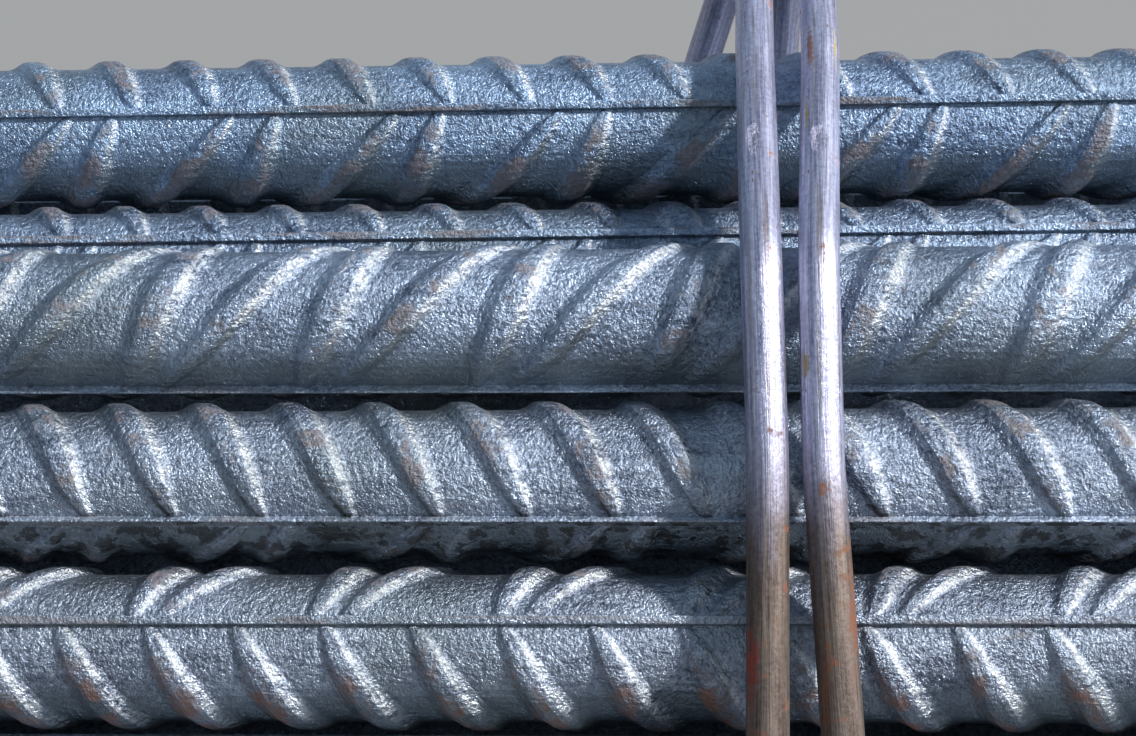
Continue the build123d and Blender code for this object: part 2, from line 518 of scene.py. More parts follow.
# %% Colour of the scale
TONE_SHARES = {"clouds": 0.35, "streaks": 0.25, "grains": 0.4}
TONE_RANGE = (0.38, 0.62)
BEAD_LIGHTER = 0.1
FLANK_START, FLANK_LEFT, FLANK_TO_SUN = (0.3, 0.5), (0.0, 0.4), (0.05, 0.3)
HIGHLIGHT_GRAINS = (0.80, 1.05)
GLINTS = (0.58, 0.68)
DEEPEST_PIT = 0.44
PIT_RANGE = (0.0, 0.1)
GREEN_CLOUDS = (0.5, 0.66)
DOWNWARD = (0.05, 0.35)
BLOTCH_EDGE = (0.51, 0.55)
STRENGTHS = {
    "painted_highlight": 0.7,
    "glints": 0.45,
    "pits": 0.5,
    "green": 0.5,
    "under": 0.7,
    "blotches": 0.85,
    "rust": 0.75,
    "seep": 0.85,
}


def scale_colour(tree, grain, beside, bead, ahead, upward):
    tone = mix(grain, TONE_SHARES)
    light = (ramp(tone, TONE_RANGE) + BEAD_LIGHTER * bead).clamp()
    # Painted reflection of the sky: the bars higher in the stack are painted bluer
    blueness = attribute(tree, "blueness")
    dark_tone = blend(tree, blueness, SCALE_DARK, SKY_REFLECTED_DARK)
    light_tone = blend(tree, blueness, SCALE_LIGHT, SKY_REFLECTED_LIGHT)
    colour = blend(tree, light, dark_tone, light_tone)
    # Painted highlight: the flanks that face the sun, towards +X, are painted nearly white
    # where the grains are high
    flank = ramp(beside, FLANK_START) * ramp(1.0 - beside, FLANK_LEFT)
    flank = flank * ramp(ahead, FLANK_TO_SUN)
    painted_highlight = flank * ramp(grain["streaks"] + grain["grains"], HIGHLIGHT_GRAINS)
    # Painted glints: white specks on the high points of the finest relief
    glints = ramp(grain["pits"], GLINTS)
    # Painted shade in the pits: the lowest points of the finest relief are darkened
    pits = ramp(DEEPEST_PIT - grain["pits"], PIT_RANGE)
    green = ramp(grain["green"], GREEN_CLOUDS)
    # Painted shade: faces that look down are painted darker and greener
    under_shade = ramp(upward * -1.0, DOWNWARD)
    blotches = ramp(grain["blotches"], BLOTCH_EDGE) * attribute(tree, "blotches")
    colour = blend(tree, painted_highlight * STRENGTHS["painted_highlight"], colour, PAINTED_HIGHLIGHT_COLOUR)
    colour = blend(tree, glints * STRENGTHS["glints"], colour, PAINTED_HIGHLIGHT_COLOUR)
    colour = blend(tree, pits * STRENGTHS["pits"], colour, dark_tone)
    colour = blend(tree, green * STRENGTHS["green"], colour, SCALE_GREEN_AND_SHADE)
    colour = blend(tree, under_shade * STRENGTHS["under"], colour, SCALE_GREEN_AND_SHADE)
    # Blotches where the scale has come off, only on faces that look down, darkened there as
    # painted shade
    shaded_blotches = under_shade * blotches * STRENGTHS["blotches"]
    return blend(tree, shaded_blotches, colour, BLOTCH_AND_SHADE_COLOUR)


print("scale colour ready")

# %% [markdown]
# Rust on a crest is a patch a few millimetres long. On a long rib it is smeared along
# the bar. Below the ribs of the lowest bar in view, water has left an orange seep.

# %% Rust on the scale
CREST = (0.0, 0.2)
CREST_BESIDE = 0.55
ON_THE_RIB = (0.3, 0.8)
CREST_EASE = 0.10
BAR_EASE = 0.12
PATCH_EDGE = (0.66, 0.74)
PATCH_ON_RIB = (0.1, 0.6)
BEAD_RUST_EDGE = (0.51, 0.60)
BEAD_RUST_LEAST = 0.4
STAIN_EDGE = (0.64, 0.72)
STAIN_STRENGTH = 0.6
SPECK_EDGE = (0.66, 0.72)
SPECK_STRENGTH = 0.5
TINT_RANGE = (0.4, 0.6)
SEEP_EDGE, SEEP_FROM_RIB = (0.42, 0.6), (0.02, 0.25)
SEEP_BELOW, SEEP_BELOW_RANGE = 0.3, (0.0, 0.5)
SEEP_BEHIND, SEEP_BEHIND_RANGE = 0.25, (0.0, 0.3)


def scale_rust(tree, grain, rib, beside, bead, ahead, upward, colour):
    """The colour with the rust on it, and how rusty each point is."""
    on_crest = ramp(CREST_BESIDE - beside, CREST) * ramp(rib, ON_THE_RIB) * CREST_EASE
    easily = attribute(tree, "crest_rust")
    patches = ramp(grain["patches"] + on_crest + BAR_EASE * easily, PATCH_EDGE)
    rust = patches * ramp(rib, PATCH_ON_RIB)
    on_bead = ramp(grain["bead_rust"], BEAD_RUST_EDGE) * bead
    on_bead = on_bead * (BEAD_RUST_LEAST + (1.0 - BEAD_RUST_LEAST) * easily)
    stains = ramp(grain["stains"], STAIN_EDGE) * STAIN_STRENGTH
    specks = ramp(grain["specks"], SPECK_EDGE) * SPECK_STRENGTH
    for other in (on_bead, stains, specks):
        rust = rust.use("MAXIMUM", other)
    tint = blend(tree, ramp(grain["grains"], TINT_RANGE), RUST_BROWN, RUST_PINK)
    colour = blend(tree, rust * STRENGTHS["rust"], colour, tint)
    seep = ramp(grain["patches"], SEEP_EDGE) * ramp(rib, SEEP_FROM_RIB)
    seep = seep * ramp(SEEP_BELOW - upward, SEEP_BELOW_RANGE)
    seep = seep * attribute(tree, "rust") * ramp(SEEP_BEHIND - ahead, SEEP_BEHIND_RANGE)
    colour = blend(tree, seep * STRENGTHS["seep"], colour, RUST_ORANGE)
    return colour, rust.use("MAXIMUM", seep)


print("scale rust ready")

# %% [markdown]
# Scale is neither bare metal nor paint. It is metallic with a thin rough coat over it,
# and the coat widens the highlight. The rolls press fine wrinkles into the ribs, and
# the grains and pits roughen all of it. That relief is a few hundredths of a
# millimetre, too fine for a mesh, so a bump makes it.

# %% Mill scale on the bars
SCALE_METALLIC = 0.85
SCALE_ROUGHNESS, ROUGHER_GRAINS, ROUGHER_RUST = 0.25, 0.18, 0.2
SCALE_IOR = 1.9
COAT_WEIGHT, COAT_ROUGHNESS = 0.4, 0.42
RELIEF_DEPTH = 0.55 * MM
RELIEF_SHARES = {"grains": 1.0, "wrinkles": 0.6, "pits": 0.36}
WRINKLED = (0.02, 0.3)


def mill_scale():
    material, tree, shader = new_material("mill_scale")
    places = {
        "plain": object_place(tree),
        "streaky": object_place(tree, stretch=STREAKY),
        "smeared": object_place(tree, stretch=SMEARED),
    }
    grain = noises(tree, places, SCALE_NOISES)
    rib = attribute(tree, "rib")
    beside = attribute(tree, "beside_crest")
    bead = attribute(tree, "bead")
    # The way each face looks in the world: the painted highlight, the painted shade below
    # and the seep go by it
    facing = step(tree, "ShaderNodeNewGeometry", output="Normal")
    ahead, upward = part(tree, "X", facing), part(tree, "Z", facing)
    colour = scale_colour(tree, grain, beside, bead, ahead, upward)
    colour, rust = scale_rust(tree, grain, rib, beside, bead, ahead, upward, colour)
    rough = SCALE_ROUGHNESS + ROUGHER_GRAINS * grain["grains"] + ROUGHER_RUST * rust
    grain["wrinkles"] = grain["wrinkles"] * ramp(rib, WRINKLED)
    relief = mix(grain, RELIEF_SHARES)
    finish(
        tree,
        shader,
        Base_Color=colour,
        Metallic=SCALE_METALLIC * (1.0 - rust),
        Roughness=rough,
        IOR=SCALE_IOR,
        Coat_Weight=COAT_WEIGHT,
        Coat_Roughness=COAT_ROUGHNESS,
        Normal=bump(tree, relief, RELIEF_DEPTH),
    )
    return material


MILL_SCALE = mill_scale()
print("mill scale:", len(MILL_SCALE.node_tree.nodes), "nodes")

# %% [markdown]
# The bars are sheared to length. A shear leaves a grey face with fine lines across it and
# rust that starts at once, so the ends have a finish of their own.

# %% Sheared ends
SHEAR_NOISES = {
    "lines": ("across", 900.0, 5.0, 0.6),
    "clouds": ("plain", 160.0, 5.0, 0.6),
}
ACROSS = (1.0, 0.2, 1.0)
SHEARED_DARK = (0.16, 0.165, 0.17)
SHEARED_LIGHT = (0.34, 0.34, 0.33)
LINE_RANGE = (0.35, 0.65)
END_RUST_EDGE = (0.48, 0.62)
END_RUST_STRENGTH = 0.7
SHEARED_METALLIC = 0.7
SHEARED_ROUGHNESS, ROUGHER_END_RUST = 0.42, 0.35
SHEAR_DEPTH = 0.1 * MM


def sheared_steel():
    material, tree, shader = new_material("sheared_steel")
    places = {"plain": object_place(tree), "across": object_place(tree, stretch=ACROSS)}
    grain = noises(tree, places, SHEAR_NOISES)
    lines, clouds = grain["lines"], grain["clouds"]
    colour = blend(tree, ramp(lines, LINE_RANGE), SHEARED_DARK, SHEARED_LIGHT)
    rust = ramp(clouds, END_RUST_EDGE)
    colour = blend(tree, rust * END_RUST_STRENGTH, colour, RUST_BROWN)
    finish(
        tree,
        shader,
        Base_Color=colour,
        Metallic=SHEARED_METALLIC * (1.0 - rust),
        Roughness=SHEARED_ROUGHNESS + ROUGHER_END_RUST * rust,
        Normal=bump(tree, lines + clouds, SHEAR_DEPTH),
    )
    return material


SHEARED_STEEL = sheared_steel()
print("sheared steel ready")

# %% [markdown]
# ## A whole bar
#
# A bar is made of two rows of ribs, cut into stretches of fine and of plainer mesh. It
# could all be fine, but 38 bars of 3 m have about 20,000 ribs. Only the middle of the
# front bars is seen from close to, so only that stretch is fine. Of the bars inside the
# stack nothing but the ends shows, and the rest of their length has no relief. The long
# ribs are rounded beads, swept along the bar.

# %% Sizes of a bar
# The wear and painted light stored on each bar: blotches, rust, crest rust and a painted
# reflection of the sky
WEAR_AND_PAINTED_LIGHT = ("Blotches", "Rust", "Crest rust", "Blueness")
PHASES = ("Parallel phase", "Crossed phase", "Crossed shift")
BAR_SIZES = {
    **dict.fromkeys(("Y", "Z", "Turn", "Twist", *PHASES, *WEAR_AND_PAINTED_LIGHT), 0.0),
    "Start": -1.5,
    "Fine start": -0.1,
    "Fine end": 0.1,
    "End": 1.5,
    "Parallel pitch": 0.0115,
    "Crossed pitch": 0.0118,
    "Parallel above": 1.0,
}
LEAN_PARALLEL = -0.51
LEAN_STEEP = 0.404
LEAN_SHALLOW = 0.869
LONG_RIB_WIDTH = 1.3 * MM
LONG_RIB_FOOT_WIDTH = 2.3 * MM
LONG_RIB_HEIGHT = 0.55 * MM
LONG_RIB_ROUNDING = 0.2 * MM
SHARP_ANGLE = math.radians(55)
CUT_FACE_NORMAL = 0.97
# A stretch is its start, its end, its lines on a rib and in a valley, its columns, how
# much of its relief it has and, where it has none, the spacing of its lines in metres
FINE_COLUMNS = 28
FIRST_PART = ("Start", "Fine start", 4, 0, 7, 1.0, None)
FINE_PART = ("Fine start", "Fine end", 11, 5, FINE_COLUMNS, 1.0, None)
HIDDEN_PART = ("Fine start", "Fine end", 4, 0, 7, 0.0, 1.0)
LAST_PART = ("Fine end", "End", 4, 0, 7, 1.0, None)
WHOLE_LENGTH = ("Start", "End", 4, 0, 7, 1.0, None)
# Points along a long rib, and points round each of its corners
FINE_BEAD = (160, 3)
PLAIN_BEAD = (2, 1)
print(len(BAR_SIZES), "sizes for each bar")

# %% The long rib
def long_rib(tree, start, end, pieces, rounding):
    """One bead, as if its bar lay on the X axis with the bead at the front."""
    outline = step(
        tree,
        "GeometryNodeCurvePrimitiveQuadrilateral",
        settings={"mode": "TRAPEZOID"},
        Bottom_Width=LONG_RIB_FOOT_WIDTH,
        Top_Width=LONG_RIB_WIDTH,
        Height=2 * LONG_RIB_HEIGHT,
        Offset=0.0,
    )
    rounded = step(
        tree,
        "GeometryNodeFilletCurve",
        settings={"mode": "POLY"},
        Curve=outline,
        Count=rounding,
        Radius=LONG_RIB_ROUNDING,
    )
    line = step(
        tree,
        "GeometryNodeCurvePrimitiveLine",
        Start=xyz(tree, X=start),
        End=xyz(tree, X=end),
    )
    runs = step(tree, "GeometryNodeResampleCurve", Curve=line, Count=pieces)
    bead = step(
        tree, "GeometryNodeCurveToMesh", Curve=runs, Profile_Curve=rounded, Fill_Caps=True
    )
    bead = keep_value(tree, bead, "bead", 1.0)
    in_front = (0, -CORE_RADIUS, 0)
    return step(tree, "GeometryNodeTransform", Geometry=bead, Translation=in_front)


def at_turn(tree, size, bead, half_turns):
    """The bead turned with its bar and moved to the bar's place."""
    angle = half_turns * math.pi - size["Turn"]
    return step(
        tree,
        "GeometryNodeTransform",
        Geometry=bead,
        Rotation=xyz(tree, X=angle),
        Translation=xyz(tree, Y=size["Y"], Z=size["Z"]),
    )


print("a long rib is", LONG_RIB_WIDTH / MM, "mm wide")

# %% The rows of ribs on one stretch
def rib_row(tree, size, stretch, parallel):
    """The rib row group, fed with one half of the bar over one stretch of it."""
    side = choose(size["Parallel above"], 1.0, -1.0) * (1.0 if parallel else -1.0)
    kind = "Parallel" if parallel else "Crossed"
    start, end, rib_lines, valley_lines, columns, relief, pitch = stretch
    node = tree.nodes.new("GeometryNodeGroup")
    node.node_tree = RIB_ROW
    values = {
        "Start": size[start],
        "End": size[end],
        "Y": size["Y"],
        "Z": size["Z"],
        "Middle": size["Turn"] + side * (math.pi / 2),
        "Phase": size[kind + " phase"],
        "Pitch": size[kind + " pitch"] if pitch is None else pitch,
        "Steep": LEAN_PARALLEL if parallel else LEAN_STEEP,
        "Shallow": LEAN_PARALLEL if parallel else LEAN_SHALLOW,
        "Shallow shift": 0.0 if parallel else size["Crossed shift"],
        "Rib lines": rib_lines,
        "Valley lines": valley_lines,
        "Columns": columns,
        "Relief": relief,
    }
    for label, value in values.items():
        plug(tree, value, node.inputs[label])
    return Field(tree, node.outputs[0])


print("each stretch has two rows")

# %% [markdown]
# All stretches of a bar are joined. The stretch in view is then turned a little more at
# one end than at the other, because a bar is seldom quite straight in its turn. The last
# nodes make the geometry real and give it its two finishes: mill scale, and sheared steel
# where a face looks along the bar.

# %% The bar tree
def bar_tree(name, stretches):
    """A bar made of stretches, laid end to end."""
    tree, size, target = new_tree(name, BAR_SIZES)
    joined = tree.nodes.new("GeometryNodeJoinGeometry")
    for stretch in stretches:
        for parallel in (True, False):
            plug(tree, rib_row(tree, size, stretch, parallel), joined.inputs[0])
        start, end, columns = size[stretch[0]], size[stretch[1]], stretch[4]
        pieces, rounding = FINE_BEAD if columns == FINE_COLUMNS else PLAIN_BEAD
        for half_turns in (0, 1):
            bead = long_rib(tree, start, end, pieces, rounding)
            plug(tree, at_turn(tree, size, bead, half_turns), joined.inputs[0])
    spot = step(tree, "GeometryNodeInputPosition")
    along = part(tree, "X", spot)
    reach = along.use("MAXIMUM", size["Fine start"]).use("MINIMUM", size["Fine end"])
    twisted = step(
        tree,
        "ShaderNodeVectorRotate",
        settings={"rotation_type": "X_AXIS"},
        Vector=spot,
        Center=xyz(tree, Y=size["Y"], Z=size["Z"]),
        Angle=reach * size["Twist"] * -1.0,
    )
    whole = step(
        tree,
        "GeometryNodeSetPosition",
        Geometry=Field(tree, joined.outputs[0]),
        Position=twisted,
    )
    angle = step(tree, "GeometryNodeInputMeshEdgeAngle")
    smooth = step(
        tree,
        "GeometryNodeSetShadeSmooth",
        settings={"domain": "EDGE"},
        Geometry=whole,
        Selection=angle > SHARP_ANGLE,
        Shade_Smooth=False,
    )
    # Each bar stores its wear and its painted light: blotches, rust, crest rust and the
    # painted reflection of the sky
    worn = smooth
    for label in WEAR_AND_PAINTED_LIGHT:
        worn = keep_value(tree, worn, label.lower().replace(" ", "_"), size[label])
    normal = part(tree, "X", step(tree, "GeometryNodeInputNormal"))
    real = step(tree, "GeometryNodeRealizeInstances", Geometry=worn)
    coated = step(tree, "GeometryNodeSetMaterial", Geometry=real, Material=MILL_SCALE)
    cut = step(
        tree,
        "GeometryNodeSetMaterial",
        Geometry=coated,
        Selection=normal.use("ABSOLUTE") > CUT_FACE_NORMAL,
        Material=SHEARED_STEEL,
    )
    plug(tree, cut, target.inputs["Geometry"])
    return tree


BAR_TREES = {
    "front": bar_tree("front_bar", [FIRST_PART, FINE_PART, LAST_PART]),
    "outer": bar_tree("outer_bar", [WHOLE_LENGTH]),
    "inner": bar_tree("inner_bar", [FIRST_PART, HIDDEN_PART, LAST_PART]),
}
print("bar trees:", {kind: len(tree.nodes) for kind, tree in BAR_TREES.items()})

# %% [markdown]
# ## The stack of bars
#
# The bars' places and lengths come from the frame. A bar lies in the stack as it fell, so
# each is turned by a different angle. The ribs of the five bars in view are set where
# they are on the real ones: each row has the place of one rib, midway between the long
# ribs, and the pitch. The other bars' ribs start anywhere.

# %% How the bars in view lie
TURN_PER_BAR = 67.5
FRONT_TURNS = {
    "bar_row_3_a": -49.0,
    "bar_row_3_b": 53.0,
    "bar_row_2_a": -10.0,
    "bar_row_1_a": 45.0,
    "bar_top": 33.0,
}
# In degrees a metre
FRONT_TWISTS = {
    "bar_row_3_a": -30.0,
    "bar_row_3_b": 30.0,
    "bar_row_2_a": -14.0,
    "bar_row_1_a": 4.0,
    "bar_top": 24.0,
}
# Of each front bar: the parallel row's rib and pitch, the crossed row's steep rib and
# pitch, how far its shallow ribs are off the middle, and whether the parallel row is above
FRONT_RIBS = {
    "bar_top": (-112.3, 11.36, -102.9, 11.90, -1.3, 1.0),
    "bar_row_3_b": (-110.6, 11.32, -105.0, 11.80, 0.0, 1.0),
    "bar_row_3_a": (-110.0, 11.50, -107.2, 11.77, 0.0, 0.0),
    "bar_row_2_a": (-100.5, 11.63, -96.4, 11.95, -0.6, 1.0),
    "bar_row_1_a": (-99.7, 11.59, -80.4, 11.97, -1.2, 0.0),
}
# Bars with blotches of lost scale, which are darkened as painted shade where they face down
BLOTCHED = {"bar_row_2_a": 1.0, "bar_row_1_a": 0.1, "bar_row_3_a": 0.0, "bar_top": 0.1}
RUSTED = {"bar_row_1_a": 1.0, "bar_row_2_a": 0.15, "bar_row_3_a": 0.0, "bar_top": 0.1}
CREST_RUSTED = {"bar_top": 1.0, "bar_row_3_b": 1.0, "bar_row_3_a": 0.2, "bar_row_2_a": 0.4}
# How strongly each bar in view is painted with the sky's blue reflection, most on the
# highest
SKY_REFLECTIONS = {"bar_top": 0.9, "bar_row_3_b": 0.7, "bar_row_3_a": 0.45, "bar_row_2_a": 0.3}
# Every other bar's ribs and wear go round in strides that don't line up with each other
PARALLEL_STRIDE, PARALLEL_PITCH = 3.7, 11.5
CROSSED_STRIDE, CROSSED_PITCH = 5.3, 11.8
BLOTCH_STRIDE, MOST_BLOTCHED = 0.37, 0.6
RUST_STRIDE, MOST_RUSTED = 0.29, 0.7
CREST_STRIDE, MOST_CREST_RUSTED = 0.43, 1.0
PLAIN_SKY_REFLECTION = 0.2
HALF_TURN = 180
FINE_REACH = (-150.0 * MM, 85.0 * MM)
INNER_END = 100.0 * MM
print("bars in view:", ", ".join(FRONT_RIBS))

# %% Make one bar
def middle(name):
    low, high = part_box(name)
    return (Vector(low) + Vector(high)) / 2


def bar_order(name):
    """From the lowest row to the highest, and from the front to the back."""
    place = middle(name)
    return round(place.z, 3), round(place.y, 3)


def spare_ribs(index):
    """The ribs of a bar that isn't in view."""
    parallel = (index * PARALLEL_STRIDE % PARALLEL_PITCH, PARALLEL_PITCH)
    crossed = (index * CROSSED_STRIDE % CROSSED_PITCH, CROSSED_PITCH)
    return *parallel, *crossed, 0.0, index % 2 * 1.0


def ribbed_bar(index, name, kind):
    low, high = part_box(name)
    place = middle(name)
    turn = FRONT_TURNS.get(name, index * TURN_PER_BAR % HALF_TURN)
    ribs = FRONT_RIBS.get(name, spare_ribs(index))
    fine = FINE_REACH if kind == "front" else (low[0] + INNER_END, high[0] - INNER_END)
    sizes = {
        "Y": place.y,
        "Z": place.z,
        "Turn": math.radians(turn),
        "Twist": math.radians(FRONT_TWISTS.get(name, 0.0)),
        "Start": low[0],
        "Fine start": fine[0],
        "Fine end": fine[1],
        "End": high[0],
        "Parallel phase": ribs[0] * MM,
        "Parallel pitch": ribs[1] * MM,
        "Crossed phase": ribs[2] * MM,
        "Crossed pitch": ribs[3] * MM,
        "Crossed shift": ribs[4] * MM,
        "Parallel above": ribs[5],
        "Blotches": BLOTCHED.get(name, index * BLOTCH_STRIDE % MOST_BLOTCHED),
        "Rust": RUSTED.get(name, index * RUST_STRIDE % MOST_RUSTED),
        "Crest rust": CREST_RUSTED.get(name, index * CREST_STRIDE % MOST_CREST_RUSTED),
        "Blueness": SKY_REFLECTIONS.get(name, PLAIN_SKY_REFLECTION),
    }
    empty = bpy.data.meshes.new("empty")
    piece = make_mesh("ribbed_" + name, BAR_TREES[kind], sizes, empty)
    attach(piece, "root")
    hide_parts(name)
    return len(piece.data.polygons)


print("lowest bar:", min(BARS, key=bar_order))

# %% Place the bars
order = sorted(BARS, key=bar_order)
faces = 0
for index, name in enumerate(order):
    row = [other for other in order if other[:-1] == name[:-1]]
    is_outer = name in (row[0], row[-1]) or name.startswith("bar_low_row_3")
    is_outer = is_outer or name.startswith("bar_row_3")
    kind = "front" if name in FRONT_RIBS else "outer" if is_outer else "inner"
    faces += ribbed_bar(index, name, kind)
print("bars:", faces, "faces")

# %% [markdown]
# ## The ties
#
# Two strands of wire rod are laid side by side round the bundle, and their four ends are
# twisted together behind the top bar. A strand could be drawn as one smooth curve, but
# real rod runs straight from bar to bar and bends only where it leans on one. So each
# path is worked out as the lines that touch the corner bars, and the twist as a helix.

# %% Sizes of a tie
WIRE_DIAMETER = 5.5 * MM
WIRE_RADIUS = WIRE_DIAMETER / 2
TIE_CLEARANCE = 0.3 * MM
WRAP_RADIUS = CORE_RADIUS + RIB_HEIGHT + TIE_CLEARANCE + WIRE_RADIUS
TIE_FROM_END = 450.0 * MM
KNOT_BEHIND_TOP_BAR = 30.0 * MM
KNOT_ABOVE_TOP_BAR = 28.0 * MM
KNOT_SHIFT = -1.0 * MM
KNOT_LEAN = math.radians(25)
TWIST_PITCH = 50.0 * MM
TWIST_TURNS = 2 / 3
TWIST_STEPS_PER_TURN = 24
TWIST_GAP = 0.25 * MM
TAIL_LENGTH = 8.0 * MM
ROOT_BEND = 8.0 * MM
# At each bar that the pair touches: how far its middle is shifted and how far apart its
# strands are, in wire diameters
CROSSINGS = {
    "front_top": ("bar_top", 0.06, 1.69),
    "front_shoulder": ("bar_row_3_a", -0.09, 1.35),
    "front": ("bar_row_0_a", 0.19, 1.91),
    "front_foot": ("bar_low_row_3_a", 0.27, 1.75),
    "back_foot": ("bar_low_row_3_d", 0.0, 1.5),
    "back": ("bar_row_0_g", -0.55, 1.75),
    "back_shoulder": ("bar_row_3_d", -1.5, 3.0),
}
MIDDLE_CROSSING = ("bar_row_2_a", -0.02, 1.29)
# The same between the top bar and the knot, at this share of the way
ABOVE_TOP_BAR = (0.45, 0.10, 1.68)
SPLAY = 1.25
LAST_TURN = 0.3
SETTLING_ROUNDS = 20


print("a tie crosses", len(CROSSINGS) + 1, "bars")

# %% The way round the bundle
def flat(name):
    place = middle(name)
    return place.y, place.z


def knot_place():
    y, z = flat("bar_top")
    return y + KNOT_BEHIND_TOP_BAR, z + KNOT_ABOVE_TOP_BAR


def strand_x(side, shift, spread):
    """How far along the bundle a strand is at a crossing, from the tie's middle."""
    return WIRE_DIAMETER * (shift + side * spread / 2)


def outer_line(start, start_radius, end, end_radius):
    """The line that touches two circles on the outside: its normal and its distance."""
    dy, dz = end[0] - start[0], end[1] - start[1]
    length = math.hypot(dy, dz)
    lean = (start_radius - end_radius) / length
    across = math.sqrt(1 - lean * lean)
    ny = (dy * lean - dz * across) / length
    nz = (dz * lean + dy * across) / length
    return ny, nz, ny * start[0] + nz * start[1] + start_radius


def meeting_point(first, second):
    """Where two lines meet."""
    det = first[0] * second[1] - first[1] * second[0]
    y = (first[2] * second[1] - second[2] * first[1]) / det
    z = (first[0] * second[2] - second[0] * first[2]) / det
    return y, z


def wrap_points(side):
    """One strand's corners round the bundle."""
    stops = [(knot_place(), 0.0)]
    stops += [(flat(crossing[0]), WRAP_RADIUS) for crossing in CROSSINGS.values()]
    stops += [(knot_place(), 0.0)]
    lines = []
    for here, there in zip(stops[1:], stops[:-1]):
        lines.append(outer_line(here[0], here[1], there[0], there[1]))
    points = []
    for crossing, before, after in zip(CROSSINGS.values(), lines[:-1], lines[1:]):
        bar, shift, spread = crossing
        points.append((strand_x(side, shift, spread), *meeting_point(before, after)))
    # The strand touches this bar without a bend, on its way from the second to the third
    bar, shift, spread = MIDDLE_CROSSING
    y, z = flat(bar)
    touch = (y + WRAP_RADIUS * lines[2][0], z + WRAP_RADIUS * lines[2][1])
    points.insert(2, (strand_x(side, shift, spread), *touch))
    share, shift, spread = ABOVE_TOP_BAR
    knot_y, knot_z = knot_place()
    y = points[0][1] + share * (knot_y - points[0][1])
    z = points[0][2] + share * (knot_z - points[0][2])
    points.insert(0, (strand_x(side, shift, spread), y, z))
    return points


print("knot at", [round(value, 4) for value in knot_place()])

# %% [markdown]
# Four wires twisted together touch their neighbours. Seen along the twist a slanting
# wire is wider than its diameter, and how much it slants depends on the radius that is
# wanted, so the radius is worked out again and again until it settles.

# %% The twist
def twist_points(first_angle):
    """One wire's points up the twist, from its root to its cut end."""
    knot_y, knot_z = knot_place()
    radius = WIRE_DIAMETER
    for _ in range(SETTLING_ROUNDS):
        slope = math.cos(math.atan(2 * math.pi * radius / TWIST_PITCH))
        radius = (WIRE_DIAMETER + TWIST_GAP) / (math.sqrt(2) * slope)
    steps = round(TWIST_TURNS * TWIST_STEPS_PER_TURN)
    points = []
    for number in range(steps + 1):
        angle = math.radians(first_angle) + 2 * math.pi * number / TWIST_STEPS_PER_TURN
        height = number * TWIST_PITCH / TWIST_STEPS_PER_TURN
        points.append(twist_point(knot_y, knot_z, radius, angle, height))
    height = TWIST_TURNS * TWIST_PITCH + TAIL_LENGTH
    points.append(twist_point(knot_y, knot_z, radius * SPLAY, angle + LAST_TURN, height))
    return points


def twist_point(knot_y, knot_z, radius, angle, height):
    """A point of the helix, which leans back from the bundle."""
    back = radius * math.sin(angle)
    return (
        KNOT_SHIFT + radius * math.cos(angle),
        knot_y + back * math.cos(KNOT_LEAN) + height * math.sin(KNOT_LEAN),
        knot_z - back * math.sin(KNOT_LEAN) + height * math.cos(KNOT_LEAN),
    )


print("a wire has", len(twist_points(0)), "points in the twist")

# %% [markdown]
# ### Drawn wire
#
# Wire is drawn through a die, which leaves fine scratches and stripes along it, and the
# heat of the works gives it a thin violet-blue skin of oxide. Lower down that is worn to
# brown. The wire's tree stores where each point is round the wire and along it, and noise
# that reads those two follows every bend. A few marks of paint and rust are where they
# are on the real strands: each is an egg round a point, frayed by noise.

# %% Marks on the strands in view
YELLOW = (0.40, 0.30, 0.04)
RED = (0.30, 0.035, 0.02)
# The middle of the mark and its half sizes in mm, and its colour
STRAND_MARKS = (
    ((3.4, -9.0, 165.0), (0.7, 9.0, 6.0), RUST_ORANGE),
    ((6.9, -9.0, 164.0), (0.4, 9.0, 4.0), YELLOW),
    ((2.5, -22.0, 159.0), (0.4, 6.0, 5.0), YELLOW),
    ((1.2, -52.0, 132.0), (0.8, 5.0, 2.6), YELLOW),
    ((-6.0, -72.0, 99.0), (1.2, 9.0, 7.5), RED),
    ((-5.8, -77.0, 89.0), (1.3, 6.0, 7.5), RUST_ORANGE),
    ((6.9, -68.0, 105.0), (1.2, 12.0, 13.0), RUST_ORANGE),
    ((3.2, -74.0, 96.0), (0.8, 9.0, 9.0), RUST_ORANGE),
)
# Where the top bar has dented them
STRAND_NICKS = (
    ((-4.9, -26.0, 155.5), (1.5, 5.0, 3.2)),
    ((3.9, -26.0, 155.5), (2.0, 4.5, 2.6)),
)
MARK_EDGE, MARK_FRAY, MARK_STRENGTH = (0.35, 0.75), 4.0, 0.85
MARK_RUST = 0.8
NICK_EDGE, NICK_STRENGTH = (0.3, 0.8), 0.4
NICK_COLOUR = (0.28, 0.28, 0.36)


def near(tree, place, centre, size):
    """1 at a place on the object, falling to 0 at the edge of an egg round it. In mm."""
    gap = step(
        tree,
        "ShaderNodeMapping",
        settings={"vector_type": "TEXTURE"},
        Vector=place,
        Location=[value * MM for value in centre],
        Scale=[value * MM for value in size],
    )
    far = step(tree, "ShaderNodeVectorMath", "Value", {"operation": "LENGTH"}, Vector=gap)
    return (1.0 - far).clamp()


